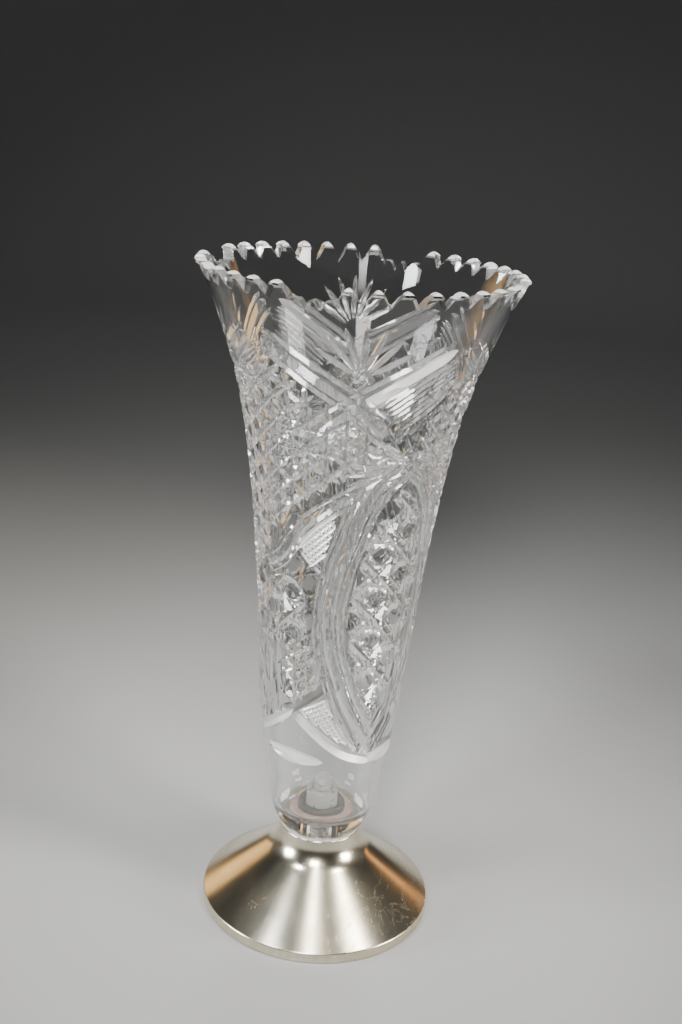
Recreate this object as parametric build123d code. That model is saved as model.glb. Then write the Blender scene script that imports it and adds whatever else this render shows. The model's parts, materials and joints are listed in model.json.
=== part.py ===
# Flower vase: a trumpet-shaped cut-glass body bolted to a weighted, spun metal foot.
# Millimetres, +Z up. Origin: centre of the face the vase rests on.
import math
import os

from build123d import *

# Overall sizes
overall_height = 280.0
rim_diameter = 127.6
foot_diameter = 99.4
foot_height = 37.0

# Glass body: outside radii at stations up its height
seat_radius = 17.0
heel_radius = 21.5
bowl_radius = 25.1
waist_radius = 29.7
trunk_radius = 34.6
shoulder_radius = 41.8
flare_radius = 51.1
# the stations' levels, as shares of the glass body's height
heel_share = 0.035
bowl_share = 0.108
waist_share = 0.256
trunk_share = 0.504
shoulder_share = 0.731
flare_share = 0.876
glass_wall = 4.6
glass_floor = 8.0
glass_floor_fillet = 5.5

# Rim: four equal lobes, each with large teeth and a dip of small teeth
lobe_count = 4
large_teeth_per_lobe = 8
small_teeth_per_lobe = 3
small_tooth_angle = 4.9
first_dip_angle = -16.0
large_notch_depth = 6.5
large_notch_share = 0.86
dip_depth = 5.5
small_notch_depth = 3.4
small_notch_share = 0.80
notch_bulge_share = 0.1

# Foot: spun sheet metal
sheet_thickness = 1.1
band_height = 4.6
band_edge_radius = 1.0
foot_lip_lift = 0.3
neck_top_radius = 17.2
neck_root_radius = 18.6
neck_length = 8.8
neck_root_fillet = 14.0

# Fastening, an M8 bolt and nut in nylon
bolt_diameter = 8.0
bolt_point_diameter = 6.6
bolt_point_height = 0.8
bolt_stub = 5.5
bolt_head_flats = 13.0
bolt_head_height = 5.3
bolt_hole_clearance = 0.25
thread_clearance = 0.05
glass_hole_clearance = 1.0
nut_flats = 13.0
nut_height = 6.2
nut_chamfer = 0.5

# Washers and gaskets between the clamped faces
seat_gasket_thickness = 1.0
inner_gasket_diameter = 26.0
inner_gasket_thickness = 1.6
inner_washer_diameter = 20.0
inner_washer_thickness = 1.4
backing_washer_diameter = 27.0
backing_washer_thickness = 2.0

# Filling and closing of the foot
filler_clearance = 0.15
base_disc_thickness = 1.0
base_disc_clearance = 0.1
felt_thickness = 1.5
felt_rim_gap = 1.2

# Levels and radii that follow from the sizes above
glass_bottom = foot_height + seat_gasket_thickness
glass_height = overall_height - glass_bottom
glass_floor_top = glass_bottom + glass_floor
rim_radius = rim_diameter / 2
foot_radius = foot_diameter / 2
bolt_radius = bolt_diameter / 2
bolt_hole_radius = bolt_radius + bolt_hole_clearance
glass_hole_radius = bolt_radius + glass_hole_clearance
gasket_top = glass_floor_top + inner_gasket_thickness
washer_top = gasket_top + inner_washer_thickness
nut_top = washer_top + nut_height
bolt_top = nut_top + bolt_stub
neck_root_height = foot_height - neck_length
foot_ceiling = foot_height - sheet_thickness
head_top = foot_ceiling - backing_washer_thickness
head_bottom = head_top - bolt_head_height
base_disc_top = felt_thickness + base_disc_thickness
band_inner_radius = foot_radius - sheet_thickness

outer_stations = [
    (heel_radius, heel_share),
    (bowl_radius, bowl_share),
    (waist_radius, waist_share),
    (trunk_radius, trunk_share),
    (shoulder_radius, shoulder_share),
    (flare_radius, flare_share),
    (rim_radius, 1.0),
]


def level(share):
    """Height of a station on the glass body."""
    return glass_bottom + share * glass_height


def disc(radius, bottom, top, hole_radius=0.0):
    """Flat ring or disc between two levels."""
    ring = Pos(0, 0, bottom) * Cylinder(radius, top - bottom, align=(Align.CENTER, Align.CENTER, Align.MIN))
    if hole_radius > 0:
        ring -= Pos(0, 0, bottom) * Cylinder(hole_radius, top - bottom, align=(Align.CENTER, Align.CENTER, Align.MIN))
    return ring


def hexagon(flats, bottom, top):
    """Hexagonal prism with its flats across X."""
    outline = RegularPolygon(flats / 2, 6, major_radius=False, rotation=30)
    return Pos(0, 0, bottom) * extrude(outline, top - bottom)


def rim_notch(angle, width, depth, top):
    """Radial cutter for the gap between two teeth, with flanks that bulge into the teeth's round shoulders."""
    half = width / 2
    bottom_point = (0.0, -depth)
    left_top = (-half, 0.0)
    right_top = (half, 0.0)
    lean_x = depth * notch_bulge_share
    lean_y = half * notch_bulge_share
    right_middle = (half / 2 - lean_x, -depth / 2 + lean_y)
    left_middle = (-right_middle[0], right_middle[1])
    clear = 4.0
    outline = ThreePointArc(bottom_point, right_middle, right_top)
    outline += Line(right_top, (half, clear))
    outline += Line((half, clear), (-half, clear))
    outline += Line((-half, clear), left_top)
    outline += ThreePointArc(left_top, left_middle, bottom_point)
    inner_reach = rim_radius - 4 * glass_wall
    reach = 6 * glass_wall
    section = Plane(origin=(0, -inner_reach, top), x_dir=(1, 0, 0), z_dir=(0, -1, 0)) * make_face(outline)
    return Rot(0, 0, angle) * extrude(section, reach)


def rim_dip(angle, span):
    """Wedge-shaped cutter that lowers the rim where the small teeth stand."""
    reach = rim_radius + 4 * glass_wall
    half = math.radians(span / 2)
    left = (-reach * math.sin(half), -reach * math.cos(half))
    right = (reach * math.sin(half), -reach * math.cos(half))
    wedge = extrude(make_face(Polyline((0, 0), left, right, close=True)), 2 * dip_depth)
    return Rot(0, 0, angle) * Pos(0, 0, overall_height - dip_depth) * wedge


def rim_cutters():
    """Every gap between teeth, all round the rim."""
    lobe_angle = 360 / lobe_count
    small_span = small_teeth_per_lobe * small_tooth_angle
    large_tooth_angle = (lobe_angle - small_span) / large_teeth_per_lobe
    large_width = math.radians(large_tooth_angle) * rim_radius * large_notch_share
    small_width = math.radians(small_tooth_angle) * rim_radius * small_notch_share
    cutters = []
    for lobe in range(lobe_count):
        dip_angle = first_dip_angle + lobe * lobe_angle
        cutters.append(rim_dip(dip_angle, small_span))
        for gap in range(1, small_teeth_per_lobe):
            angle = dip_angle - small_span / 2 + gap * small_tooth_angle
            cutters.append(rim_notch(angle, small_width, small_notch_depth, overall_height - dip_depth))
        for gap in range(large_teeth_per_lobe + 1):
            angle = dip_angle + small_span / 2 + gap * large_tooth_angle
            cutters.append(rim_notch(angle, large_width, large_notch_depth, overall_height))
    return cutters


def glass_body():
    """Thick glass trumpet with a flat bottom, a bolt hole and a toothed rim."""
    outer_points = [(seat_radius, glass_bottom)]
    outer_points += [(radius, level(share)) for radius, share in outer_stations]
    outer = Line((0, glass_bottom), outer_points[0])
    outer += Spline(*outer_points)
    outer += Line((rim_radius, overall_height), (0, overall_height))
    outer += Line((0, overall_height), (0, glass_bottom))
    mouth = overall_height + glass_wall
    inner_points = [(bowl_radius - glass_wall, glass_floor_top)]
    inner_points += [(radius - glass_wall, level(share)) for radius, share in outer_stations[1:]]
    inner = Line((0, glass_floor_top), inner_points[0])
    inner += Spline(*inner_points)
    inner += Line(inner_points[-1], (inner_points[-1][0], mouth))
    inner += Line((inner_points[-1][0], mouth), (0, mouth))
    inner += Line((0, mouth), (0, glass_floor_top))
    inner_face = make_face(inner)
    floor_corner = inner_face.vertices().sort_by_distance(Vector(inner_points[0][0], glass_floor_top))[0]
    inner_face = fillet(floor_corner, glass_floor_fillet)
    blank = revolve(Plane.XZ * make_face(outer), Axis.Z)
    cavity = revolve(Plane.XZ * inner_face, Axis.Z)
    bolt_hole = disc(glass_hole_radius, glass_bottom - 1, glass_floor_top + 1)
    return blank - cavity - bolt_hole - rim_cutters()


def foot_solid(inset, lift):
    """Filled shape of the foot, drawn in by the sheet thickness for its inside."""
    cone_run = foot_radius - neck_root_radius
    cone_fall = neck_root_height - band_height
    cone_length = math.hypot(cone_run, cone_fall)
    neck_run = neck_root_radius - neck_top_radius
    neck_fall = foot_height - neck_root_height
    neck_slant = math.hypot(neck_run, neck_fall)
    # each side line moves inwards by the inset, and the corners are where the moved lines meet
    cone_lower = inset * cone_length / cone_run
    neck_inward = inset * neck_slant / neck_fall
    cone_slope = cone_fall / cone_run
    neck_slope = neck_run / neck_fall
    top = foot_height - inset
    outer_radius = foot_radius - inset
    shoulder = band_height - cone_lower + inset * cone_slope
    neck_at_top = neck_top_radius - neck_inward + inset * neck_slope
    # neck line: radius = neck_top_radius - neck_inward + (foot_height - z) * neck_slope
    # cone line: z = band_height - cone_lower + (foot_radius - radius) * cone_slope
    neck_base = neck_top_radius - neck_inward + foot_height * neck_slope
    cone_base = band_height - cone_lower + foot_radius * cone_slope
    root_radius = (neck_base - cone_base * neck_slope) / (1 - cone_slope * neck_slope)
    root_height = cone_base - root_radius * cone_slope
    outline = Polyline(
        (0, lift),
        (outer_radius, lift),
        (outer_radius, shoulder),
        (root_radius, root_height),
        (neck_at_top, top),
        (0, top),
        close=True,
    )
    face = make_face(outline)
    root = face.vertices().sort_by_distance(Vector(root_radius, root_height))[0]
    face = fillet(root, neck_root_fillet + inset)
    edge = face.vertices().sort_by_distance(Vector(outer_radius, shoulder))[0]
    face = fillet(edge, max(band_edge_radius - inset, band_edge_radius / 4))
    return revolve(Plane.XZ * face, Axis.Z)


def foot_shell():
    """Spun sheet foot, open below, with the bolt hole in its flat top."""
    shell = foot_solid(0.0, foot_lip_lift) - foot_solid(sheet_thickness, -1.0)
    return shell - disc(bolt_hole_radius, foot_ceiling - 1, foot_height + 1)


def foot_filler():
    """Cast weight poured into the foot round the bolt head and its washer."""
    body = foot_solid(sheet_thickness + filler_clearance, base_disc_top)
    head_corner_radius = bolt_head_flats / math.sqrt(3)
    washer_pocket_radius = backing_washer_diameter / 2 + filler_clearance
    head_pocket_radius = head_corner_radius + filler_clearance
    body -= disc(washer_pocket_radius, head_top, foot_height)
    return body - disc(head_pocket_radius, head_bottom - filler_clearance, head_top)


def fixing_bolt():
    """Hexagon-head bolt, entered from below."""
    head = hexagon(bolt_head_flats, head_bottom, head_top)
    shank = disc(bolt_radius, head_top, bolt_top - bolt_point_height)
    point_radius = bolt_point_diameter / 2
    point = Cone(bolt_radius, point_radius, bolt_point_height, align=(Align.CENTER, Align.CENTER, Align.MIN))
    return head + shank + Pos(0, 0, bolt_top - bolt_point_height) * point


def clamp_nut():
    """Hexagon nut with its corners turned off at both faces."""
    nut = hexagon(nut_flats, washer_top, nut_top)
    corner_radius = nut_flats / math.sqrt(3)
    turned = Pos(0, 0, washer_top) * Cylinder(corner_radius, nut_height, align=(Align.CENTER, Align.CENTER, Align.MIN))
    turned = chamfer(turned.edges().filter_by(GeomType.CIRCLE), nut_chamfer)
    return (nut & turned) - disc(bolt_radius + thread_clearance, washer_top - 1, nut_top + 1)


pieces = {
    "glass_body": glass_body(),
    "clamp_nut": clamp_nut(),
    "inner_washer": disc(inner_washer_diameter / 2, gasket_top, washer_top, bolt_hole_radius),
    "inner_gasket": disc(inner_gasket_diameter / 2, glass_floor_top, gasket_top, bolt_hole_radius),
    "fixing_bolt": fixing_bolt(),
    "seat_gasket": disc(seat_radius, foot_height, glass_bottom, bolt_hole_radius),
    "foot_shell": foot_shell(),
    "backing_washer": disc(backing_washer_diameter / 2, head_top, foot_ceiling, bolt_hole_radius),
    "foot_filler": foot_filler(),
    "base_disc": disc(band_inner_radius - base_disc_clearance, felt_thickness, base_disc_top),
    "felt_pad": disc(band_inner_radius - felt_rim_gap, 0.0, felt_thickness),
}

os.makedirs("parts", exist_ok=True)
for name, shape in pieces.items():
    export_step(shape, f"parts/{name}.step")
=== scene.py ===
import json
import math

import bpy
from mathutils import Matrix, Vector

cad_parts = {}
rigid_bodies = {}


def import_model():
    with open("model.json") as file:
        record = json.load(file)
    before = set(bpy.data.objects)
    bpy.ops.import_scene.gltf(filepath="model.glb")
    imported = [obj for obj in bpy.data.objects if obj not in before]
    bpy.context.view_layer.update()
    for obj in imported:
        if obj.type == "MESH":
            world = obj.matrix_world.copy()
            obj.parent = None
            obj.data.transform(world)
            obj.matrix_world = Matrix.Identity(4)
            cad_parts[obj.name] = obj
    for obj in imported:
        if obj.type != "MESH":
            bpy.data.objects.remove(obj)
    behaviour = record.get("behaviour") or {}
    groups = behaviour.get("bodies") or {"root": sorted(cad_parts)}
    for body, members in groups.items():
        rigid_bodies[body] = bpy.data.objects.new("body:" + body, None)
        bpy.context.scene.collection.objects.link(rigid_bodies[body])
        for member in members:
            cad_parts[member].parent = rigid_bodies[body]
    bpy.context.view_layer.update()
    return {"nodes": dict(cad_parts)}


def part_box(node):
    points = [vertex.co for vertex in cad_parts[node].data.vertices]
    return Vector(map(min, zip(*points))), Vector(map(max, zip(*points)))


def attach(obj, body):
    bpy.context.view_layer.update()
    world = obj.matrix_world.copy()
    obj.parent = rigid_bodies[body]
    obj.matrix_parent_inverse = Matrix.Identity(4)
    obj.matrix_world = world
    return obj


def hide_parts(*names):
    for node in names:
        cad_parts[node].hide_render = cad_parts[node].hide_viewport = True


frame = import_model()
mm = 0.001
print("frame loaded:", len(frame["nodes"]), "nodes")


class Wire:
    # one output socket; arithmetic on wires adds Math nodes
    def __init__(self, tree, socket):
        self.tree = tree
        self.socket = socket

    def node(self, kind, settings=None, **inputs):
        # settings first, then the sockets: in0, in1 and so on by number, the others by name
        made = self.tree.nodes.new(kind)
        for key, value in (settings or {}).items():
            setattr(made, key, value)
        for key, value in inputs.items():
            byNumber = key.startswith("in") and key[2:].isdigit()
            target = made.inputs[int(key[2:]) if byNumber else key.replace("_", " ")]
            if isinstance(value, Wire):
                self.tree.links.new(value.socket, target)
            else:
                target.default_value = value
        return made

    def out(self, made, name=0):
        return Wire(self.tree, made.outputs[name])

    def math(self, operation, *values):
        inputs = {f"in{place}": value for place, value in enumerate(values)}
        return self.out(self.node("ShaderNodeMath", {"operation": operation}, **inputs))

    def __add__(self, other):
        return self.math("ADD", self, other)

    def __radd__(self, other):
        return self.math("ADD", other, self)

    def __sub__(self, other):
        return self.math("SUBTRACT", self, other)

    def __rsub__(self, other):
        return self.math("SUBTRACT", other, self)

    def __mul__(self, other):
        return self.math("MULTIPLY", self, other)

    def __rmul__(self, other):
        return self.math("MULTIPLY", other, self)

    def ramp(self, low, high):
        # 0 below low, 1 above high
        made = self.node("ShaderNodeMapRange", {"clamp": True}, Value=self, From_Min=low, From_Max=high)
        return self.out(made)

    def noise(self, scale, detail=4.0, roughness=0.55, distortion=0.0):
        made = self.node("ShaderNodeTexNoise", None, Vector=self, Scale=scale, Detail=detail,
                         Roughness=roughness, Distortion=distortion)
        return self.out(made)

    def scaled(self, x, y, z):
        made = self.node("ShaderNodeMapping", None, Vector=self, Scale=(x, y, z))
        return self.out(made)

    def bands(self, level, width):
        # 1 along the contour where the value passes the level, 0 off it
        return 1.0 - self.math("ABSOLUTE", self - level).ramp(0.0, width)

    def mixColour(self, first, second):
        # this wire is the factor; sockets 6 and 7 are the colours, output 2 the mixed colour
        return self.out(self.node("ShaderNodeMix", {"data_type": "RGBA"}, in0=self, in6=first, in7=second), 2)


def newFinish(name, **constants):
    # a Principled material with Object coordinates; the constants go on the shader's own sockets
    finish = bpy.data.materials.new(name)
    finish.use_nodes = True
    tree = finish.node_tree
    shader = tree.nodes["Principled BSDF"]
    for key, value in constants.items():
        shader.inputs[key.replace("_", " ")].default_value = value
    coordinates = tree.nodes.new("ShaderNodeTexCoord")
    return finish, shader, Wire(tree, coordinates.outputs["Object"])


def plug(shader, name, wire):
    wire.tree.links.new(wire.socket, shader.inputs[name])


def bumpUp(shader, height, strength, distance):
    bump = height.node("ShaderNodeBump", None, Height=height, Strength=strength, Distance=distance)
    height.tree.links.new(bump.outputs["Normal"], shader.inputs["Normal"])


def clearSelection():
    if bpy.context.mode != "OBJECT":
        bpy.ops.object.mode_set(mode="OBJECT")
    bpy.ops.object.select_all(action="DESELECT")


def pick(piece):
    clearSelection()
    piece.select_set(True)
    bpy.context.view_layer.objects.active = piece


def turnedBody(name, outline, steps, closed=True, weld=0.002):
    # outline of (radius, height) points in millimetres, spun about Z; closed joins its ends first
    clearSelection()
    bpy.ops.mesh.primitive_plane_add(size=mm)
    body = bpy.context.object
    body.name = name
    body.data.name = name
    bpy.ops.object.mode_set(mode="EDIT")
    bpy.ops.mesh.select_all(action="SELECT")
    bpy.ops.mesh.merge(type="CENTER")
    bpy.ops.transform.translate(value=(outline[0][0] * mm, 0, outline[0][1] * mm))
    path = outline + outline[:1] if closed else outline
    for (radius, height), (nextRadius, nextHeight) in zip(path, path[1:]):
        move = ((nextRadius - radius) * mm, 0, (nextHeight - height) * mm)
        bpy.ops.mesh.extrude_region_move(TRANSFORM_OT_translate={"value": move})
    bpy.ops.mesh.select_all(action="SELECT")
    bpy.ops.mesh.remove_doubles(threshold=weld * mm)
    bpy.ops.mesh.select_all(action="SELECT")
    bpy.ops.mesh.spin(steps=steps, angle=2 * math.pi, center=(0, 0, 0), axis=(0, 0, 1))
    bpy.ops.mesh.select_all(action="SELECT")
    bpy.ops.mesh.remove_doubles(threshold=weld * mm)
    bpy.ops.mesh.normals_make_consistent(inside=not closed)
    bpy.ops.object.mode_set(mode="OBJECT")
    return body


def arcPoints(centre, radius, start, end, count):
    # points round an arc, angles in degrees
    points = []
    for step in range(count + 1):
        angle = math.radians(start + (end - start) * step / count)
        points.append((centre[0] + radius * math.cos(angle), centre[1] + radius * math.sin(angle)))
    return points


def roundedOutline(corners, turnStep):
    # closed outline through (radius, height, rounding) corners, a point every turnStep degrees of arc
    outline = []
    for i, (x, z, rounding) in enumerate(corners):
        here = Vector((x, z))
        if not rounding:
            outline.append((x, z))
            continue
        back = (Vector(corners[i - 1][:2]) - here).normalized()
        onward = (Vector(corners[(i + 1) % len(corners)][:2]) - here).normalized()
        half = back.angle(onward) / 2
        centre = here + (back + onward).normalized() * rounding / math.sin(half)
        start = here + back * rounding / math.tan(half) - centre
        stop = here + onward * rounding / math.tan(half) - centre
        sweep = start.angle(stop)
        count = max(2, round(math.degrees(sweep) / turnStep))
        for k in range(count + 1):
            t = k / count
            spoke = (start * math.sin((1 - t) * sweep) + stop * math.sin(t * sweep)) / math.sin(sweep)
            outline.append(tuple(centre + spoke))
    return outline


def carve(piece, tool, operation):
    # Boolean with one tool, then the hair-thin slivers it leaves are collapsed
    pick(piece)
    step = piece.modifiers.new("carve", "BOOLEAN")
    step.operation = operation
    step.solver = "MANIFOLD"
    step.object = tool
    bpy.ops.object.modifier_apply(modifier="carve")
    bpy.data.meshes.remove(tool.data)
    bpy.ops.object.mode_set(mode="EDIT")
    bpy.ops.mesh.select_all(action="SELECT")
    bpy.ops.mesh.dissolve_degenerate(threshold=0.003 * mm)
    bpy.ops.object.mode_set(mode="OBJECT")


def smoothByAngle(piece, degrees):
    pick(piece)
    bpy.ops.object.shade_smooth_by_angle(angle=math.radians(degrees))


glass = {
    "stations": [(0.0, 17.0), (0.035, 21.5), (0.108, 25.1), (0.256, 29.7), (0.504, 34.6),
                 (0.731, 41.8), (0.876, 51.1), (1.0, 63.8)],   # share of height, outside radius in mm
    "wall": 4.6,
    "floor": 8.0,
    "floorFillet": 5.5,
    "bowlStart": 8.0,        # the inner wall leaves the fillet this far above it
    "bowlInset": 0.6,
    "boltHole": 5.0,
    "bottomEdge": 0.6,
    "outerRings": 64,
    "innerRings": 36,
    "ringCrowding": 1.15,    # above 1 the outer rings stand closer near the bottom
    "segments": 168,
    "smoothAngle": 18,
}
glassLow, glassHigh = (corner.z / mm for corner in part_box("glass_body"))
glassHeight = glassHigh - glassLow


def glassRadius(height):
    # outside radius at a height, smooth through the stations
    share = min(max((height - glassLow) / glassHeight, 0.0), 1.0)
    stations = glass["stations"]
    place = max(i for i in range(len(stations) - 1) if share >= stations[i][0] - 1e-9)

    def slope(i):
        before, after = max(i - 1, 0), min(i + 1, len(stations) - 1)
        return (stations[after][1] - stations[before][1]) / (stations[after][0] - stations[before][0])

    (lowShare, lowRadius), (highShare, highRadius) = stations[place], stations[place + 1]
    span = highShare - lowShare
    t = (share - lowShare) / span
    lowSlope, highSlope = slope(place) * span, slope(place + 1) * span
    if place == 0:
        lowSlope = 2 * (highRadius - lowRadius) - highSlope
    if place == len(stations) - 2:
        highSlope = 2 * (highRadius - lowRadius) - lowSlope
    return ((2 * t ** 3 - 3 * t ** 2 + 1) * lowRadius + (t ** 3 - 2 * t ** 2 + t) * lowSlope
            + (3 * t ** 2 - 2 * t ** 3) * highRadius + (t ** 3 - t ** 2) * highSlope)


def onGlass(turn, height):
    # the point of the glass turn degrees round from the near side, with its outward normal
    lean = glassRadius(height + 0.5) - glassRadius(height - 0.5)
    across = Vector((math.sin(math.radians(turn)), -math.cos(math.radians(turn)), 0.0))
    normal = (across - Vector((0, 0, lean))).normalized()
    return across * glassRadius(height) + Vector((0, 0, height)), normal


def curvedLine(points, spacing):
    # Catmull-Rom line through (turn, height) points, one sample every few millimetres
    ends = [points[0]] + list(points) + [points[-1]]
    line = []
    for a, b, c, d in zip(ends, ends[1:], ends[2:], ends[3:]):
        start, stop = onGlass(*b)[0], onGlass(*c)[0]
        count = max(1, round((stop - start).length / spacing))
        for step in range(count):
            t = step / count
            line.append(tuple(0.5 * (2 * q + (r - p) * t + (2 * p - 5 * q + 4 * r - s) * t * t
                              + (3 * q - p - 3 * r + s) * t ** 3) for p, q, r, s in zip(a, b, c, d)))
    line.append(points[-1])
    return line


cutter = {
    "lift": 0.35,           # a cutter stands this far out of the glass
    "sink": 0.02,           # its tapered ends finish this far outside, so that they cut nothing
    "spacing": 3.5,         # between its rings, in mm
    "fewestRings": 5,
    "hollowSides": 6,
    "hollowTaper": 1.7,     # how gently a spear's ends run out
    "mitreTaper": 0.7,
    "squareEnds": 8,        # a square cut is at full depth from one part in 8 of its length
    "shortest": 1.6,        # hatch lines shorter than this are left out
}
cutStore = bpy.data.collections.new("cuts")
bpy.context.scene.collection.children.link(cutStore)


def mitreSection(depth, slope):
    # V section: (sideways, outward) in millimetres
    half = (depth + cutter["lift"]) * slope
    return [(-half, cutter["lift"]), (0.0, -depth), (half, cutter["lift"])]


def hollowSection(depth, wheel):
    # round section of a wheel's edge of that radius
    reach = math.acos(max(-1.0, (wheel - depth - cutter["lift"]) / wheel))
    section = []
    for i in range(cutter["hollowSides"] + 1):
        angle = reach * (2 * i / cutter["hollowSides"] - 1)
        section.append((wheel * math.sin(angle), wheel - depth - wheel * math.cos(angle)))
    return section


def closedTool(name, verts, width):
    # closed mesh over rings of width points each, kept with the other cutters
    faces = []
    for start in range(0, len(verts) - width, width):
        for k in range(width):
            a, b = start + k, start + (k + 1) % width
            faces.append((a, a + width, b + width, b))
    faces.append(tuple(range(width)))
    faces.append(tuple(reversed(range(len(verts) - width, len(verts)))))
    mesh = bpy.data.meshes.new(name)
    mesh.from_pydata(verts, [], faces)
    cutStore.objects.link(bpy.data.objects.new(name, mesh))


def makeCut(points, depth, slope=1.15, wheel=0.0, square=False, spacing=cutter["spacing"], shift=0.0):
    # a cutter laid along a line on the glass: mitre, or hollow when a wheel radius is given
    line = curvedLine(points, spacing)
    if len(line) < cutter["fewestRings"]:
        line = curvedLine(points, max(0.6, spacing * len(line) / (cutter["fewestRings"] + 1)))
    places = [onGlass(*spot) for spot in line]
    verts = []
    for i, (spot, normal) in enumerate(places):
        ahead = places[min(i + 1, len(places) - 1)][0] - places[max(i - 1, 0)][0]
        side = ahead.cross(normal).normalized()
        share = i / (len(places) - 1)
        if square:
            factor = math.sin(math.pi / 2 * min(1.0, min(share, 1 - share) * cutter["squareEnds"]))
        else:
            factor = math.sin(math.pi * share) ** (cutter["hollowTaper"] if wheel else cutter["mitreTaper"])
        deep = depth * factor - cutter["sink"]
        section = hollowSection(deep, wheel) if wheel else mitreSection(deep, slope)
        verts += [(spot + side * (across + shift) + normal * out) * mm for across, out in section]
    closedTool("cut", verts, len(verts) // len(places))


def cutAround(line, depth, times=2, start=0, **options):
    # the same cut, repeated round the vase
    for k in range(times):
        makeCut([(turn + start + k * 360 / times, height) for turn, height in line], depth, **options)


def hatchLines(region, angle, pitch, phase=0.0):
    # parallel lines at an angle (degrees from level) inside a (turn, height) outline
    level = sum(height for _, height in region) / len(region)
    perDegree = math.radians(glassRadius(level))
    flat = [(turn * perDegree, height) for turn, height in region]
    along = (math.cos(math.radians(angle)), math.sin(math.radians(angle)))
    across = (-along[1], along[0])
    offsets = [x * across[0] + y * across[1] for x, y in flat]
    lines = []
    step = math.ceil((min(offsets) - phase) / pitch)
    while step * pitch + phase < max(offsets):
        offset = step * pitch + phase
        hits = []
        for i, (x0, y0) in enumerate(flat):
            x1, y1 = flat[(i + 1) % len(flat)]
            d0 = x0 * across[0] + y0 * across[1] - offset
            d1 = x1 * across[0] + y1 * across[1] - offset
            if d0 * d1 < 0:
                t = d0 / (d0 - d1)
                hits.append((x0 + (x1 - x0) * t) * along[0] + (y0 + (y1 - y0) * t) * along[1])
        hits.sort()
        for a, b in zip(hits[::2], hits[1::2]):
            if b - a > cutter["shortest"]:
                ends = [(offset * across[0] + t * along[0], offset * across[1] + t * along[1])
                        for t in (a, b)]
                lines.append([(x / perDegree, y) for x, y in ends])
        step += 1
    return lines


cutting = {
    # centre line of the broad hollow band, from the hub down to the valley of the border
    "band": [(35, 213), (24, 208), (15, 200), (9, 190), (5, 180), (0, 170), (-3, 160), (-5, 150), (-4, 140),
             (-1, 130), (5, 120), (12, 110), (22, 100), (32, 91), (43, 81)],
    "bandHollows": [(0.0, 1.9, 2.7), (-4.7, 1.4, 1.7)],   # aside, depth, wheel
    "bandMitres": [(3.9, 1.4, 0.8), (6.2, 1.2, 0.8)],     # aside, depth, slope
    "hub": 35.0,                       # the band's mirror image stands on the hub's other side
    "swag": [(-55, 163), (-40, 170), (-30, 179), (-20, 187), (-8, 194), (6, 201), (20, 207), (35, 213)],
    "swagMitres": [(0.0, 1.4, 1.3), (-3.2, 0.9, 1.0), (3.2, 0.9, 1.0)],   # aside, depth, slope
    "swagTurn": -55.0,                 # and the swag's mirror image on the other side of this
    "nick": (3.0, 3.2),                # half length of the nicks across the swag: degrees, mm
    "nickShares": (0.25, 0.75),
    "nickDepth": 0.9,
    "borders": [
        ([(-135, 80), (-100, 83), (-75, 87), (-60, 91), (-44, 97), (-28, 104)], 1.7, 1.25),
        ([(-28, 103), (-14, 97), (0, 91), (14, 86), (28, 83), (45, 80)], 1.9, 1.3),
    ],                                 # line, depth, slope
    "olive": [(-61, 81.5), (-45, 81.8), (-30, 81.8), (-15, 81.6), (0, 81)],
    "oliveDepth": 2.0,
    "oliveWheel": 4.6,
}


def mirrored(line, turn):
    return [(2 * turn - place, height) for place, height in line]


def cutBands():
    band = cutting["band"]
    for line, hand in ((band, 1), (mirrored(band, cutting["hub"]), -1)):
        for aside, depth, wheel in cutting["bandHollows"]:
            cutAround(line, depth, wheel=wheel, square=True, shift=hand * aside)
        for aside, depth, slope in cutting["bandMitres"]:
            cutAround(line, depth, slope=slope, square=True, shift=hand * aside)
    swag = cutting["swag"]
    for line, hand in ((swag, 1), (mirrored(swag, cutting["swagTurn"]), -1)):
        for aside, depth, slope in cutting["swagMitres"]:
            cutAround(line, depth, slope=slope, square=True, shift=hand * aside)
        # short nicks across the swag make its row of small bright facets
        for here, onward in zip(line, line[1:]):
            for share in cutting["nickShares"]:
                turn, height = [a + (b - a) * share for a, b in zip(here, onward)]
                wide, high = cutting["nick"]
                ends = [(turn - wide * hand, height + high), (turn + wide * hand, height - high)]
                cutAround(ends, cutting["nickDepth"], slope=1.2, spacing=1.5)
    for line, depth, slope in cutting["borders"]:
        cutAround(line, depth, slope=slope, square=True)
    for start in (0, 90):
        cutAround(cutting["olive"], cutting["oliveDepth"], start=start, wheel=cutting["oliveWheel"],
                  spacing=1.5)


panels = {
    # cross-hatched panels: outline, hatch angles and the turn of their mirror image, if there is one
    "underSwag": {"outline": [(-29, 178), (-9, 191), (-3, 189), (-10, 172), (-19, 168)],
                  "angles": (45, -45), "mirror": -55.0},
    "overBorder": {"outline": [(-25, 104.5), (-3, 112), (6, 101), (15, 94), (27, 87.5), (10, 91), (-8, 98)],
                   "angles": (33, -57), "mirror": None},
}
hatch = {"pitch": 2.0, "depth": 0.55, "slope": 1.3}
besidePanel = {"line": [(1, 112), (9, 101), (18, 94), (29, 87.5)], "depth": 0.8, "wheel": 1.9}


def panelOutlines(panel):
    outlines = [panel["outline"]]
    if panel["mirror"] is not None:
        outlines.append(mirrored(panel["outline"], panel["mirror"]))
    return outlines


def cutPanels():
    for panel in panels.values():
        for outline in panelOutlines(panel):
            for angle in panel["angles"]:
                for line in hatchLines(outline, angle, hatch["pitch"]):
                    cutAround(line, hatch["depth"], slope=hatch["slope"], square=True, spacing=4.0)
    cutAround(besidePanel["line"], besidePanel["depth"], wheel=besidePanel["wheel"], spacing=2.0)


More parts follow.
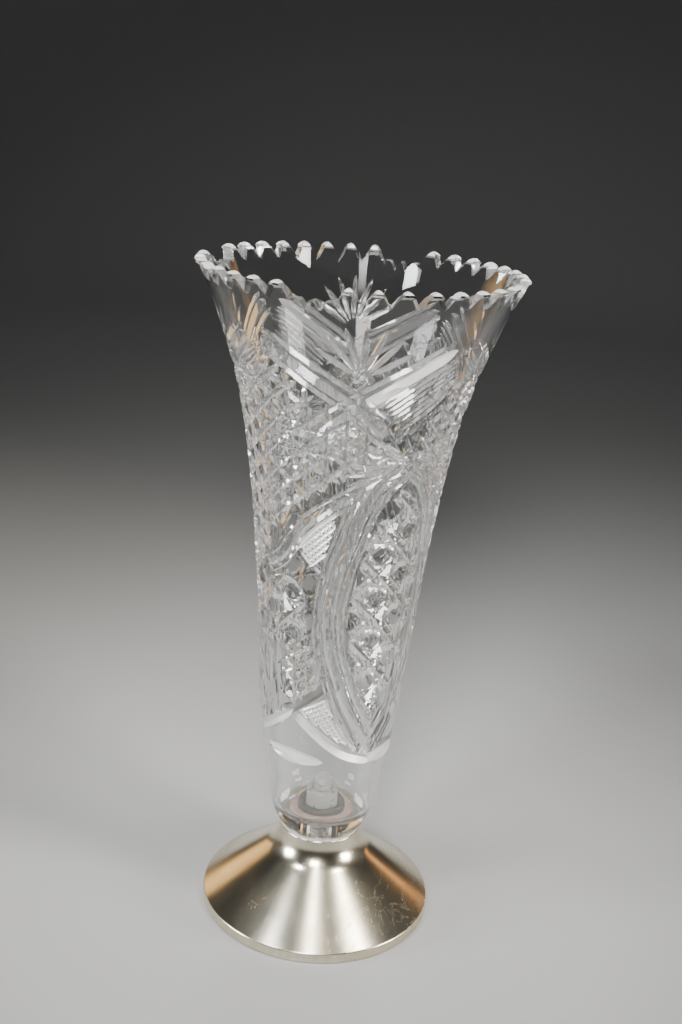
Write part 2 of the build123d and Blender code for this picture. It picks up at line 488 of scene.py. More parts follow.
eyeCane = {
    "outline": [(35, 204), (24, 196), (17, 184), (12, 172), (9, 160), (8, 148), (10, 136), (16, 122),
                (25, 108), (35, 96), (45, 108), (54, 122), (60, 136), (62, 148), (61, 160), (58, 172),
                (53, 184), (46, 196)],
    "button": (26.5, 156.5), "across": 9.6, "up": 9.3,
}
sideCane = {
    "outline": [(-55, 158), (-38, 164), (-24, 160), (-19, 150), (-19, 138), (-30, 134), (-55, 132),
                (-80, 134), (-91, 138), (-91, 150), (-86, 160), (-72, 164)],
    "button": (-48.0, 147.0), "across": 9.6, "up": 9.3,
}
cane = {
    # each: aside, depth of the slanting mitres; the main one has a finer line on each side
    "slanting": [(0.0, 2.1), (-2.7, 0.8), (2.7, 0.8)],
    "slantSlope": 0.9, "levelDepth": 1.3, "uprightDepth": 1.2, "straightSlope": 1.05,
}


def cutCane(zone):
    # chair-cane work: mitres cross both ways, upright and level, and leave clear octagonal buttons
    turn, height = zone["button"]
    across, up = zone["across"], zone["up"]
    level = sum(place for _, place in zone["outline"]) / len(zone["outline"])
    x = turn * math.radians(glassRadius(level))
    slant = math.hypot(across, up)
    for angle in (math.atan2(up, across), -math.atan2(up, across)):
        pitch = 2 * across * up / slant
        through = -x * math.sin(angle) + height * math.cos(angle) + pitch / 2
        for aside, depth in cane["slanting"]:
            for line in hatchLines(zone["outline"], math.degrees(angle), pitch, through + aside):
                cutAround(line, depth, slope=cane["slantSlope"], square=True, spacing=4.0)
    for line in hatchLines(zone["outline"], 0, up, height + up / 2):
        cutAround(line, cane["levelDepth"], slope=cane["straightSlope"], square=True, spacing=4.0)
    for line in hatchLines(zone["outline"], 90, across, -x + across / 2):
        cutAround(line, cane["uprightDepth"], slope=cane["straightSlope"], square=True, spacing=4.0)


sideFan = {
    # long spears rise from the border's peak, with clear oval windows between them
    "root": (-30, 107),
    "tips": [(-62, 122), (-57, 131), (-50, 137), (-43, 142), (-37, 146), (-33, 147), (-29, 146), (-24, 143),
             (-19, 138), (-14, 131), (-10, 124)],
    "gap": 0.08,             # the spears start this share of the way out
    "spearDepth": 1.3,
    "windowDepth": 1.1,
    "windowWheel": 3.4,
    "edgeDepth": 1.3,
    "nickDepth": 1.0,
    "windows": [[(-53, 111), (-54, 119), (-54, 128)], [(-70, 108), (-71, 117), (-71, 126)],
                [(-86, 108), (-87, 117), (-87, 126)]],
    "edges": [[(-62, 101), (-66, 116), (-64, 132)], [(-78, 98), (-80, 114), (-79, 132)],
              [(-44, 103), (-46, 116), (-60, 130)], [(-92, 96), (-95, 112), (-90, 130)]],
    "nicks": 9,
    "firstNick": [(-96, 91.5), (-92, 101)],
    "nickStep": [(7, 0.4), (7, 0.6)],     # how each end moves from one nick to the next
}


def cutSideFan():
    for tip in sideFan["tips"]:
        start = tuple(a + (b - a) * sideFan["gap"] for a, b in zip(sideFan["root"], tip))
        cutAround([start, tip], sideFan["spearDepth"], slope=0.9, spacing=3.0)
    for window in sideFan["windows"]:
        cutAround(window, sideFan["windowDepth"], wheel=sideFan["windowWheel"], spacing=1.5)
    for edge in sideFan["edges"]:
        cutAround(edge, sideFan["edgeDepth"], slope=1.0, spacing=3.0)
    for nick in range(sideFan["nicks"]):
        ends = [(turn + step * nick, height + rise * nick)
                for (turn, height), (step, rise) in zip(sideFan["firstNick"], sideFan["nickStep"])]
        cutAround(ends, sideFan["nickDepth"], slope=1.1, spacing=2.0)


stars = [
    # each chord joins two of the points on the ring, step points apart
    {"centres": [(-27, 219)], "points": 12, "reach": 17.0, "step": 5, "depth": 1.9},
    {"centres": [(-60, 236), (0, 222), (-46, 194), (66, 238), (56, 214), (82, 222)], "points": 8,
     "reach": 8.5, "step": 3, "depth": 1.4},
]


def cutStar(turn, height, star):
    # hobstar: long chords between points on a ring
    perDegree = math.radians(glassRadius(height))

    def spot(angle):
        return (turn + star["reach"] * math.cos(angle) / perDegree, height + star["reach"] * math.sin(angle))

    for i in range(star["points"]):
        a = 2 * math.pi * (i + 0.5) / star["points"]
        b = a + 2 * math.pi * star["step"] / star["points"]
        cutAround([spot(a), spot(b)], star["depth"], slope=0.95, spacing=3.0)


fill = {
    # diamond-cut grounds between the large motifs
    "leftGround": {"outline": [(-86, 186), (-66, 178), (-50, 176), (-36, 186), (-18, 198), (6, 208),
                               (24, 214), (8, 230), (-6, 232), (-22, 242), (-36, 250), (-58, 246),
                               (-80, 250)],
                   "pitch": 7.2},
    "rightGround": {"outline": [(46, 212), (60, 202), (74, 194), (92, 190), (98, 214), (96, 236), (84, 246),
                                (66, 250), (50, 246), (40, 232), (36, 222)],
                    "pitch": 6.4},
    "underSwags": {"outline": [(-92, 166), (-80, 160), (-66, 164), (-55, 168), (-46, 172), (-50, 177),
                               (-66, 179), (-84, 186), (-94, 180)],
                   "pitch": 5.2},
    "besideBand": {"outline": [(66, 196), (74, 172), (78, 150), (76, 132), (84, 128), (90, 146), (90, 166),
                               (84, 186)],
                   "pitch": 5.6},
    "overPeak": {"outline": [(-28, 108), (-8, 116), (-12, 134), (-24, 136), (-40, 134), (-46, 118)],
                 "pitch": 5.0},
}
groundCut = {"angles": (38, -38, 90), "phase": 1.3, "depth": 1.6, "slope": 0.9}


def cutGrounds():
    for ground in fill.values():
        for angle in groundCut["angles"]:
            for line in hatchLines(ground["outline"], angle, ground["pitch"], groundCut["phase"]):
                cutAround(line, groundCut["depth"], slope=groundCut["slope"], square=True, spacing=4.0)


upper = {
    # arms of the crossing under each rim lobe, four times round
    "falling": [(-40, 258), (-20, 247), (2, 236), (14, 228)],
    "rising": [(42, 258), (22, 247), (2, 236), (-20, 222)],
    "armMitres": [(0.0, 1.9, 1.35), (-4.2, 1.2, 1.05), (4.2, 1.2, 1.05)],   # aside, depth, slope
    # broad bright spears beside the crossing: line, depth, wheel
    "spears": [([(3, 235), (10, 230), (18, 224)], 1.7, 4.0), ([(8, 236), (15, 240), (23, 245)], 1.5, 3.4)],
    # ribbed panel along the rising arm
    "ribs": 7,
    "firstRib": [(14, 235.5), (30, 246.0), (46, 254.0)],
    "ribStep": [(1.5, -1.5), (1.5, -1.7), (0.0, -2.0)],
    "ribDepth": 0.75,
    "ribEdge": [(34, 235), (41, 241), (48, 246)],
    "edgeDepth": 1.4,
}
fans = [
    # rays from a centre, their angles in degrees; from and to are reaches (degrees round, mm up)
    {"centre": (3, 247), "rays": 7, "first": 30, "step": 20, "from": (4, 3), "to": (22, 20),
     "depth": 1.5, "slope": 0.85, "spacing": 2.0, "times": 4, "mirror": None},
    {"centre": (35, 213), "rays": 9, "first": 140, "step": 11, "from": (3, 2), "to": (38, 20),
     "depth": 1.3, "slope": 0.95, "spacing": 3.0, "times": 2, "mirror": 35.0},
]


def cutUpper():
    for line, hand in ((upper["falling"], 1), (upper["rising"], -1)):
        for aside, depth, slope in upper["armMitres"]:
            cutAround(line, depth, times=4, slope=slope, square=True, shift=hand * aside)
    for line, depth, wheel in upper["spears"]:
        cutAround(line, depth, times=4, wheel=wheel, spacing=1.5)
    for rib in range(upper["ribs"]):
        along = [(turn + step * rib, height + rise * rib)
                 for (turn, height), (step, rise) in zip(upper["firstRib"], upper["ribStep"])]
        cutAround(along, upper["ribDepth"], times=4, slope=1.0, square=True, spacing=4.0)
    cutAround(upper["ribEdge"], upper["edgeDepth"], times=4, slope=1.2, spacing=2.0)


def cutFan(fan):
    turn, height = fan["centre"]
    for ray in range(fan["rays"]):
        angle = math.radians(fan["first"] + fan["step"] * ray)
        ends = [(turn + wide * math.cos(angle), height + high * math.sin(angle))
                for wide, high in (fan["from"], fan["to"])]
        lines = [ends] if fan["mirror"] is None else [ends, mirrored(ends, fan["mirror"])]
        for line in lines:
            cutAround(line, fan["depth"], times=fan["times"], slope=fan["slope"], spacing=fan["spacing"])


rim = {
    "lobes": 4, "largeTeeth": 8, "smallTeeth": 3, "smallTooth": 4.9, "firstDip": -16.0,
    "notchDepth": 6.4, "notchHalf": 4.7, "smallDepth": 3.3, "smallHalf": 2.3, "dipDepth": 5.5,
    # a notch's flank as shares of its half width and depth, up to the lip
    "flank": [(0.30, -0.66), (0.55, -0.37), (0.75, -0.17), (0.90, -0.06), (1.04, 0.0)],
    "overLip": (1.1, 3.0),             # share of the half width, mm above the lip
}


def makeNotch(turn, half, depth, top):
    # radial V cutter through the rim, its flanks rolling over into the teeth's round shoulders
    wide, above = rim["overLip"]
    flank = [(across * half, up * depth) for across, up in rim["flank"]]
    flank.append((wide * half, glassHigh - top + above))
    outline = [(0.0, -depth)] + flank + [(-across, up) for across, up in reversed(flank)]
    angle = math.radians(turn)
    out = Vector((math.sin(angle), -math.cos(angle), 0))
    side = Vector((math.cos(angle), math.sin(angle), 0))
    lip = glassRadius(glassHigh)
    verts = []
    for reach in (lip + glass["wall"], lip - 4 * glass["wall"]):
        verts += [(out * reach + side * across + Vector((0, 0, top + up))) * mm for across, up in outline]
    closedTool("notch", verts, len(outline))


def cutRim():
    lobe = 360 / rim["lobes"]
    smallSpan = rim["smallTeeth"] * rim["smallTooth"]
    largeTooth = (lobe - smallSpan) / rim["largeTeeth"]
    for k in range(rim["lobes"]):
        dip = rim["firstDip"] + k * lobe
        for gap in range(1, rim["smallTeeth"]):
            makeNotch(dip - smallSpan / 2 + gap * rim["smallTooth"], rim["smallHalf"], rim["smallDepth"],
                      glassHigh - rim["dipDepth"])
        for gap in range(rim["largeTeeth"] + 1):
            makeNotch(dip + smallSpan / 2 + gap * largeTooth, rim["notchHalf"], rim["notchDepth"], glassHigh)
        halfDip = math.radians(smallSpan / 2) * glassRadius(glassHigh)
        makeNotch(dip, halfDip, 0.01, glassHigh - rim["dipDepth"])     # nearly flat: lowers the whole dip


def turnBlank():
    wall = glass["wall"]
    lip = wall / 2
    fillet = glass["floorFillet"]
    floor = glassLow + glass["floor"]
    bowl = floor + fillet + glass["bowlStart"]
    outline = [(glass["boltHole"], glassLow), (glassRadius(glassLow) - glass["bottomEdge"], glassLow)]
    for i in range(1, glass["outerRings"] + 1):
        height = glassLow + (glassHeight - lip) * (i / glass["outerRings"]) ** glass["ringCrowding"]
        outline.append((glassRadius(height), height))
    outline += arcPoints((glassRadius(glassHigh) - lip, glassHigh - lip), lip, 15, 165, 8)
    for i in range(glass["innerRings"]):
        height = glassHigh - lip - (glassHigh - lip - bowl) * i / (glass["innerRings"] - 1)
        outline.append((glassRadius(height) - wall, height))
    corner = glassRadius(bowl) - wall - fillet - glass["bowlInset"]
    outline += arcPoints((corner, floor + fillet), fillet, 0, -90, 8)
    outline.append((glass["boltHole"], floor))
    return turnedBody("cutGlass", outline, glass["segments"])


def layCuts():
    cutBands()
    cutPanels()
    cutCane(eyeCane)
    cutCane(sideCane)
    cutSideFan()
    cutGrounds()
    for star in stars:
        for turn, height in star["centres"]:
            cutStar(turn, height, star)
    cutUpper()
    for fan in fans:
        cutFan(fan)
    cutRim()


def buildGlass():
    blank = turnBlank()
    layCuts()
    pick(blank)
    step = blank.modifiers.new("carve", "BOOLEAN")
    step.operation = "DIFFERENCE"
    step.solver = "MANIFOLD"
    step.operand_type = "COLLECTION"
    step.collection = cutStore
    bpy.ops.object.modifier_apply(modifier="carve")
    for tool in list(cutStore.objects):
        bpy.data.meshes.remove(tool.data)
    bpy.data.collections.remove(cutStore)
    smoothByAngle(blank, glass["smoothAngle"])
    print("glass carved:", len(blank.data.polygons), "faces")
    return blank


def crystalFinish():
    finish, shader, place = newFinish("leadCrystal", Transmission_Weight=1.0, IOR=1.54)
    film = place.noise(90.0, 5.0).ramp(0.45, 0.75)
    plug(shader, "Base Color", film.mixColour((0.99, 0.992, 0.99, 1), (0.965, 0.972, 0.965, 1)))
    plug(shader, "Roughness", film * 0.03 + 0.005)
    bumpUp(shader, place.noise(55.0, 2.0), 0.06, 0.0004)
    return finish


def cutFinish():
    # wheel-cut faces, acid polished but still faintly satin
    finish, shader, place = newFinish("cutFacets", Transmission_Weight=0.93, IOR=1.54)
    wheelMarks = place.noise(900.0, 4.0, 0.6)
    patches = place.noise(140.0, 3.0).ramp(0.35, 0.7)
    plug(shader, "Base Color", patches.mixColour((0.985, 0.99, 0.995, 1), (0.95, 0.945, 0.93, 1)))
    plug(shader, "Roughness", patches * 0.06 + wheelMarks * 0.05 + 0.01)
    bumpUp(shader, wheelMarks, 0.12, 0.0001)
    return finish


def satinFinish():
    # wheel marks left in the ground: border, olives and cross-hatched panels
    finish, shader, place = newFinish("satinCuts", Transmission_Weight=0.58, IOR=1.54)
    wheelMarks = place.noise(1100.0, 4.0, 0.6)
    patches = place.noise(60.0, 3.0).ramp(0.3, 0.7)
    plug(shader, "Base Color", patches.mixColour((0.97, 0.975, 0.985, 1), (0.90, 0.885, 0.85, 1)))
    plug(shader, "Roughness", patches * 0.08 + wheelMarks * 0.10 + 0.08)
    bumpUp(shader, wheelMarks, 0.2, 0.0001)
    return finish


def inside(turn, height, outline):
    # counts how often a level ray from the spot crosses the outline
    within = False
    for (x0, y0), (x1, y1) in zip(outline, outline[1:] + outline[:1]):
        if (y0 > height) != (y1 > height) and turn < x0 + (x1 - x0) * (height - y0) / (y1 - y0):
            within = not within
    return within


def nearLine(turn, height, line, reach):
    for (t0, h0), (t1, h1) in zip(line, line[1:]):
        if t0 <= turn <= t1:
            return abs(height - h0 - (h1 - h0) * (turn - t0) / (t1 - t0)) < reach
    return False


sorting = {
    # which faces of the carved glass get which finish, in millimetres
    "cutsStart": 76.0,
    "shallowest": 0.06,     # a face sunk less than this is the turned surface
    "wallMargin": 0.25,     # a face nearer than this to the inner wall is the inner wall
    "oliveTop": 84.5,
    "borderReach": 3.6,
    "crown": 1.8,
    "crossingArm": [(5, 238), (9, 235), (44, 255), (40, 260)],
}


def isSatin(turn, height):
    # turn and height of a cut face; the pattern comes twice round
    if height < sorting["oliveTop"] or height > glassHigh - sorting["crown"]:
        return True
    outlines = [sorting["crossingArm"]]
    for panel in panels.values():
        outlines += panelOutlines(panel)
    for place in (turn - 180, turn, turn + 180):
        if any(nearLine(place, height, border[0], sorting["borderReach"]) for border in cutting["borders"]):
            return True
        if any(inside(place, height, outline) for outline in outlines):
            return True
    return False


def finishGlass(vase):
    vase.data.materials.clear()
    for finish in (crystalFinish(), cutFinish(), satinFinish()):
        vase.data.materials.append(finish)
    counts = [0, 0, 0]
    deepest = glass["wall"] - sorting["wallMargin"]
    for face in vase.data.polygons:
        spot = face.center / mm
        sunk = glassRadius(spot.z) - math.hypot(spot.x, spot.y)
        kind = 0
        if sorting["shallowest"] < sunk < deepest and spot.z > sorting["cutsStart"]:
            kind = 2 if isSatin(math.degrees(math.atan2(spot.x, -spot.y)), spot.z) else 1
        face.material_index = kind
        counts[kind] += 1
    print("faces clear, cut, satin:", counts)


vase = buildGlass()
finishGlass(vase)
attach(vase, "root")
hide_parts("glass_body")


foot = {
    "sheet": 1.1, "band": 4.6, "shoulder": 1.1, "lip": 0.4, "lift": 0.3, "neckTop": 17.2, "topEdge": 0.5,
    "neckRoot": 18.6, "neckLength": 8.8, "neckSweep": 14.0, "boltHole": 4.25,
    "turnStep": 5, "segments": 240, "smoothAngle": 30,
}
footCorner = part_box("foot_shell")[1]
footTop, footRadius = footCorner.z / mm, footCorner.x / mm


def buildFoot():
    # spun sheet: short neck, straight cone and a turned-down band
    sheet, band, root = foot["sheet"], foot["band"], foot["neckRoot"]
    rootHeight = footTop - foot["neckLength"]
    neckSlope = (root - foot["neckTop"]) / foot["neckLength"]
    coneSlope = (rootHeight - band) / (footRadius - root)
    innerTop = foot["neckTop"] - sheet * math.hypot(1, neckSlope)
    innerFall = band - sheet * math.hypot(1, coneSlope)
    innerRoot = ((innerTop + neckSlope * (footTop - innerFall - footRadius * coneSlope))
                 / (1 - neckSlope * coneSlope))
    innerBand = footRadius - sheet
    corners = [
        (foot["boltHole"], footTop, 0), (foot["neckTop"], footTop, foot["topEdge"]),
        (root, rootHeight, foot["neckSweep"]), (footRadius, band, foot["shoulder"]),
        (footRadius, foot["lift"], foot["lip"]),
        (innerBand, foot["lift"], foot["lip"]), (innerBand, innerFall + sheet * coneSlope, 0),
        (innerRoot, innerFall + (footRadius - innerRoot) * coneSlope, foot["neckSweep"] + sheet),
        (innerTop + sheet * neckSlope, footTop - sheet, 0), (foot["boltHole"], footTop - sheet, 0),
    ]
    shell = turnedBody("silverFoot", roundedOutline(corners, foot["turnStep"]), foot["segments"])
    smoothByAngle(shell, foot["smoothAngle"])
    return shell


def silverFinish():
    # warm worn plate: tarnish, dried water marks, fine scratches and a streaky band; its warm olive tone is
    # partly real tarnish and partly a painted warm reflection of the room
    finish, shader, place = newFinish("silverPlate", Metallic=1.0)
    height = place.out(place.node("ShaderNodeSeparateXYZ", None, Vector=place), "Z")
    tarnish = place.noise(28.0, 6.0, 0.6).ramp(0.35, 0.72)
    cloud = place.noise(70.0, 5.0, 0.6, 0.6)
    waterMarks = cloud.bands(0.56, 0.02) * tarnish.ramp(0.45, 1.0)
    bandTop = foot["band"] * mm
    onBand = 1.0 - height.ramp(bandTop - 0.0002, bandTop + 0.0006)
    streaks = place.scaled(1, 1, 0.03).noise(700.0, 3.0, 0.7)
    scratches = place.scaled(1.0, 0.08, 0.6).noise(900.0, 2.0).ramp(0.66, 0.72) * tarnish
    # both shades are warmed towards olive tan: partly real tarnish, partly a painted warm reflection of the
    # room
    tarnishAndPaintedReflection = tarnish.mixColour((0.83, 0.77, 0.62, 1), (0.62, 0.53, 0.35, 1))
    streaked = (onBand * streaks.ramp(0.4, 0.7) * 0.5).mixColour(tarnishAndPaintedReflection, (0.50, 0.46, 0.36, 1))
    marked = (waterMarks * 0.35).mixColour(streaked, (0.90, 0.87, 0.78, 1))
    plug(shader, "Base Color", (scratches * 0.5).mixColour(marked, (0.93, 0.91, 0.86, 1)))
    plug(shader, "Roughness", tarnish * 0.12 + waterMarks * 0.16 + scratches * 0.15 + onBand * 0.04 + 0.16)
    spinLines = place.scaled(1, 1, 30).noise(120.0, 2.0)
    bumpUp(shader, spinLines + scratches * 0.6 + onBand * streaks, 0.035, 0.0003)
    return finish


silverFoot = buildFoot()
silverFoot.data.materials.clear()
silverFoot.data.materials.append(silverFinish())
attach(silverFoot, "root")
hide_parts("foot_shell")
print("foot spun:", len(silverFoot.data.polygons), "faces")


fastening = {
    "acrossFlats": 13.0, "chamfer": 0.7, "chamferRun": 1.12, "thread": 4.0, "pitch": 1.25,
    "threadDepth": 0.62, "plain": 1.0, "point": 3.3, "pointHeight": 0.8, "headHeight": 5.3,
    "bore": 4.05, "boreFlare": 1.3, "flareHeight": 0.5,
    "blockSteps": 64, "shankSteps": 60, "ringsPerPitch": 8, "nutSmooth": 25, "boltSmooth": 35,
}
nutLow, nutHigh = (corner.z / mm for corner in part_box("clamp_nut"))
boltLow, boltHigh = (corner.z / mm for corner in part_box("fixing_bolt"))


def hexBlock(name, low, high):
    # hexagonal block with turned chamfers; it turns by 30 degrees where the CAD nut's corners lie along X
    reach = fastening["acrossFlats"] / math.sqrt(3)
    clearSelection()
    bpy.ops.mesh.primitive_cylinder_add(vertices=6, radius=reach * mm, depth=(high - low) * mm,
                                        location=(0, 0, (low + high) / 2 * mm))
    block = bpy.context.object
    block.name = name
    block.data.name = name
    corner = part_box("clamp_nut")[1]
    if corner.x > corner.y:
        bpy.ops.object.mode_set(mode="EDIT")
        bpy.ops.mesh.select_all(action="SELECT")
        bpy.ops.transform.rotate(value=math.radians(30), orient_axis="Z", center_override=(0, 0, 0))
        bpy.ops.object.mode_set(mode="OBJECT")
    bpy.ops.object.transform_apply(location=True, rotation=True, scale=True)
    chamfer, face, clear = fastening["chamfer"], reach - fastening["chamferRun"], reach + 0.2
    outline = [(0, low), (face, low), (clear, low + chamfer), (clear, high - chamfer), (face, high),
               (0, high)]
    turned = turnedBody("turnedBlank", outline, fastening["blockSteps"])
    carve(block, turned, "INTERSECT")
    return block


def buildNut():
    nut = hexBlock("clampNut", nutLow, nutHigh)
    bore, flare = fastening["bore"], fastening["bore"] + fastening["boreFlare"]
    low, high = nutLow + fastening["flareHeight"], nutHigh - fastening["flareHeight"]
    outline = [(0, nutLow - 1), (flare, nutLow - 1), (bore, low), (bore, high), (flare, nutHigh + 1),
               (0, nutHigh + 1)]
    carve(nut, turnedBody("nutBore", outline, fastening["shankSteps"]), "DIFFERENCE")
    smoothByAngle(nut, fastening["nutSmooth"])
    return nut


def windThread(shank, low, high):
    # each shank vertex between the two heights moves in by its place along the helix
    radius, pitch = fastening["thread"], fastening["pitch"]
    for vertex in shank.data.vertices:
        height = vertex.co.z / mm
        if math.hypot(vertex.co.x, vertex.co.y) / mm > radius - 0.01 and low < height < high - 0.01:
            phase = (height / pitch - math.atan2(vertex.co.y, vertex.co.x) / (2 * math.pi)) % 1.0
            fade = min(1.0, (high - height) / pitch, (height - low) / pitch)
            sunk = fastening["threadDepth"] * abs(2 * phase - 1) * fade
            vertex.co.xy *= (radius - sunk) / radius


def buildBolt():
    radius, plain = fastening["thread"], fastening["plain"]
    headTop = boltLow + fastening["headHeight"]
    threadEnd = boltHigh - fastening["pointHeight"]
    rings = round((threadEnd - headTop) / fastening["pitch"] * fastening["ringsPerPitch"])
    outline = [(0.0, headTop - plain), (radius, headTop - plain)]
    outline += [(radius, headTop + (threadEnd - headTop) * k / rings) for k in range(rings + 1)]
    outline += [(fastening["point"], boltHigh), (0.0, boltHigh)]
    shank = turnedBody("fixingBolt", outline, fastening["shankSteps"])
    windThread(shank, headTop + plain, threadEnd)
    carve(shank, hexBlock("boltHead", boltLow, headTop), "UNION")
    smoothByAngle(shank, fastening["boltSmooth"])
    return shank


def nylonFinish():
    finish, shader, place = newFinish("milkyNylon", IOR=1.53, Transmission_Weight=0.45)
    cloud = place.noise(260.0, 4.0).ramp(0.35, 0.7)
    plug(shader, "Base Color", cloud.mixColour((0.90, 0.90, 0.87, 1), (0.80, 0.79, 0.73, 1)))
    plug(shader, "Roughness", cloud * 0.15 + 0.25)
    bumpUp(shader, place.noise(1400.0, 3.0), 0.08, 0.0001)
    return finish


nylon = nylonFinish()
for made, node in ((buildNut(), "clamp_nut"), (buildBolt(), "fixing_bolt")):
    made.data.materials.clear()
    made.data.materials.append(nylon)
    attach(made, "root")
    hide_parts(node)
print("nut and bolt made")


def mottled(name, light, dark, grain, rough, relief, **constants):
    # finish of two mixed shades with a fine grain
    finish, shader, place = newFinish(name, **constants)
    patches = place.noise(grain / 8, 4.0).ramp(0.35, 0.68)
    speck = place.noise(grain, 4.0, 0.65)
    shade = patches.mixColour(light, dark)
    plug(shader, "Base Color", (speck.ramp(0.55, 0.75) * 0.3).mixColour(shade, dark))
    plug(shader, "Roughness", patches * 0.12 + speck * 0.1 + rough)
    bumpUp(shader, speck, relief, 0.0002)
    return finish


def zincFinish():
    # plated sheet: cells of slightly different grey
    finish, shader, place = newFinish("zincPlate", Metallic=1.0)
    cells = place.node("ShaderNodeTexVoronoi", {"feature": "F1"}, Vector=place, Scale=420.0)
    spangle = place.out(cells, "Distance").ramp(0.2, 0.8)
    plug(shader, "Base Color", spangle.mixColour((0.68, 0.69, 0.70, 1), (0.48, 0.49, 0.51, 1)))
    plug(shader, "Roughness", spangle * 0.2 + 0.28)
    bumpUp(shader, spangle, 0.1, 0.0001)
    return finish


def feltFinish():
    # matted wool: short crossing fibres
    finish, shader, place = newFinish("woolFelt", Sheen_Weight=0.35, Sheen_Roughness=0.5)
    fibres = place.scaled(1.0, 0.25, 1.0).noise(2600.0, 3.0, 0.7, 2.0)
    crossing = place.scaled(0.25, 1.0, 1.0).noise(2300.0, 3.0, 0.7, 2.0)
    nap = fibres.math("MAXIMUM", fibres, crossing)
    worn = place.noise(60.0, 3.0).ramp(0.45, 0.7)
    dyed = nap.ramp(0.4, 0.75).mixColour((0.045, 0.12, 0.07, 1), (0.10, 0.22, 0.14, 1))
    plug(shader, "Base Color", (worn * 0.35).mixColour(dyed, (0.17, 0.24, 0.17, 1)))
    plug(shader, "Roughness", nap * 0.1 + 0.85)
    bumpUp(shader, nap, 0.6, 0.0003)
    return finish


def plainSheetFinish():
    finish, shader, place = newFinish("plainSheet", Metallic=1.0)
    brushed = place.scaled(0.06, 1.0, 1.0).noise(1500.0, 3.0, 0.7)
    stain = place.noise(50.0, 4.0).ramp(0.5, 0.75)
    plug(shader, "Base Color", stain.mixColour((0.63, 0.62, 0.58, 1), (0.42, 0.38, 0.31, 1)))
    plug(shader, "Roughness", brushed * 0.15 + stain * 0.2 + 0.25)
    bumpUp(shader, brushed, 0.08, 0.0001)
    return finish


nodeFinishes = {
    # light and dark shade, grain, roughness, relief
    "inner_washer": mottled("clearVinyl", (0.88, 0.87, 0.82, 1), (0.78, 0.76, 0.68, 1), 900.0, 0.1, 0.05,
                            Transmission_Weight=0.8, IOR=1.5),
    "inner_gasket": mottled("agedRubber", (0.66, 0.49, 0.43, 1), (0.46, 0.31, 0.27, 1), 1500.0, 0.55, 0.25),
    "seat_gasket": mottled("seatRubber", (0.60, 0.57, 0.53, 1), (0.42, 0.40, 0.36, 1), 1600.0, 0.55, 0.2),
    "backing_washer": zincFinish(),
    "foot_filler": mottled("castPlaster", (0.86, 0.84, 0.79, 1), (0.74, 0.71, 0.64, 1), 700.0, 0.75, 0.35),
    "base_disc": plainSheetFinish(),
    "felt_pad": feltFinish(),
}
for node, finish in nodeFinishes.items():
    slots = frame["nodes"][node].data.materials
    slots.clear()
    slots.append(finish)
print("finishes set:", len(nodeFinishes), "nodes")


stage = {"floorRadius": 1500, "bend": 700, "wallTop": 2000, "segments": 96, "shade": (0.42, 0.42, 0.41, 1)}


def addStage():
    # a round cove: the pale floor sweeps up into its wall, so no horizon shows from any side
    floorRadius, bend = stage["floorRadius"], stage["bend"]
    outline = [(0, 0), (floorRadius, 0)] + arcPoints((floorRadius, bend), bend, -80, 0, 8)
    outline.append((floorRadius + bend, stage["wallTop"]))
    cove = turnedBody("cove", outline, stage["segments"], closed=False, weld=0.1)
    pick(cove)
    bpy.ops.object.shade_smooth()
    finish = newFinish("paleFloor", Base_Color=stage["shade"], Roughness=0.85)[0]
    cove.data.materials.append(finish)


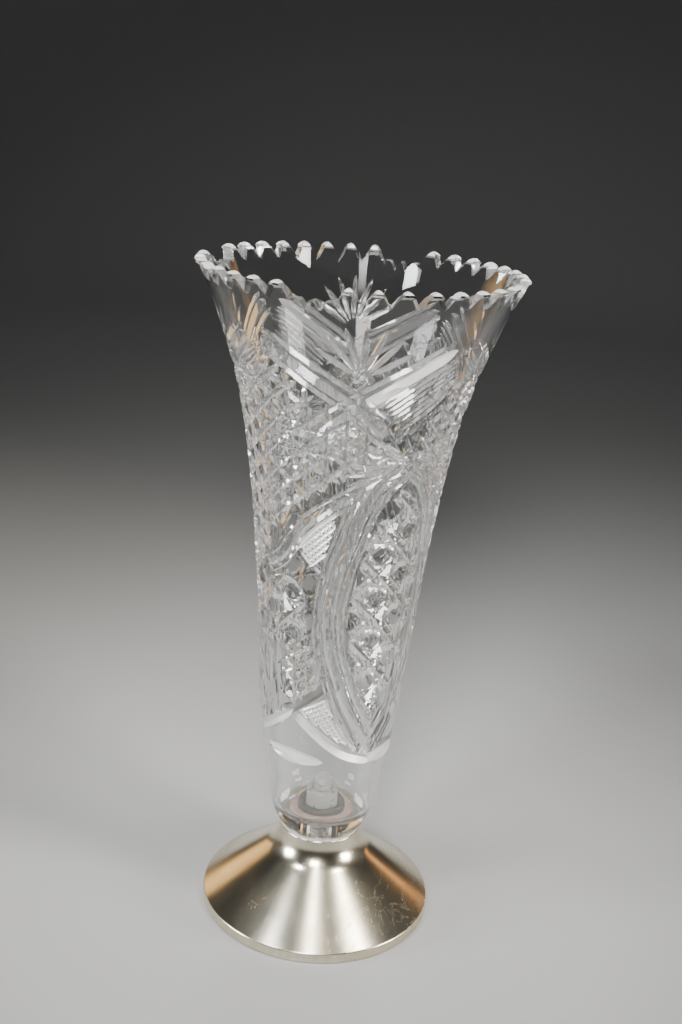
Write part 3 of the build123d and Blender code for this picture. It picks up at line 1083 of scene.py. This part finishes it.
lamps = {
    # watts, width and height in metres, place, height aimed at, colour, spread in degrees
    "topStrip": (0.50, (0.11, 0.70), (0.0, -0.10, 0.95), 0.0, (1.0, 0.98, 0.95), 70),
    "frontStrip": (0.10, (0.07, 0.36), (0.0, -0.50, 0.76), 0.03, (1.0, 0.99, 0.96), 45),
    "frontBox": (0.65, (0.18, 0.24), (-0.06, -0.68, 0.52), 0.20, (1.0, 0.99, 0.97), 50),
    "leftHighBox": (0.24, (0.16, 0.16), (-0.50, -0.45, 0.85), 0.20, (0.93, 0.96, 1.0), 40),
    "rightHighBox": (0.24, (0.16, 0.16), (0.52, -0.30, 0.85), 0.20, (1.0, 0.98, 0.94), 40),
    "leftStrip": (1.9, (0.30, 0.5), (-0.80, -0.25, 0.36), 0.30, (0.95, 0.97, 1.0), 45),
    "rightStrip": (1.9, (0.30, 0.5), (0.80, -0.25, 0.36), 0.30, (1.0, 0.97, 0.93), 45),
    "leftBackCard": (0.13, (0.42, 0.5), (-0.60, 0.66, 0.36), 0.22, (1.0, 0.62, 0.26), 60),
    "rightBackCard": (0.03, (0.08, 0.5), (0.66, 0.62, 0.36), 0.22, (1.0, 0.50, 0.20), 60),
    "backBox": (0.3, (0.30, 0.20), (0.10, 0.85, 0.95), 0.26, (1.0, 1.0, 1.0), 45),
}
sky = {"Color": (0.75, 0.77, 0.8, 1), "Strength": 0.14}


def addLights():
    for name, (energy, size, place, aim, colour, spread) in lamps.items():
        lamp = bpy.data.lights.new(name, "AREA")
        lamp.shape = "RECTANGLE"
        lamp.size, lamp.size_y = size
        lamp.energy = energy
        lamp.color = colour
        lamp.spread = math.radians(spread)
        lampObject = bpy.data.objects.new(name, lamp)
        bpy.context.scene.collection.objects.link(lampObject)
        lampObject.location = place
        lampObject.rotation_euler = (Vector((0, 0, aim)) - Vector(place)).to_track_quat("-Z", "Y").to_euler()
    world = bpy.data.worlds.new("studio")
    bpy.context.scene.world = world
    world.use_nodes = True
    for name, value in sky.items():
        world.node_tree.nodes["Background"].inputs[name].default_value = value


view = {
    "place": (0.0, -0.4893, 0.3466),                 # metres
    "down": 18.77, "turn": 0.15, "roll": 4.43,       # degrees
    "lens": 45.0, "sensor": 36.0,                    # millimetres
}


def addCamera():
    camera = bpy.data.cameras.new("camera")
    camera.lens = view["lens"]
    camera.sensor_fit = "VERTICAL"
    camera.sensor_height = view["sensor"]
    camera.clip_start = 0.01
    cameraObject = bpy.data.objects.new("camera", camera)
    bpy.context.scene.collection.objects.link(cameraObject)
    aim = (Matrix.Rotation(math.radians(view["turn"]), 4, "Z")
           @ Matrix.Rotation(math.radians(90 - view["down"]), 4, "X")
           @ Matrix.Rotation(math.radians(view["roll"]), 4, "Z"))
    cameraObject.matrix_world = Matrix.Translation(view["place"]) @ aim
    bpy.context.scene.camera = cameraObject


addStage()
addLights()
addCamera()
print("stage, lights and camera set")
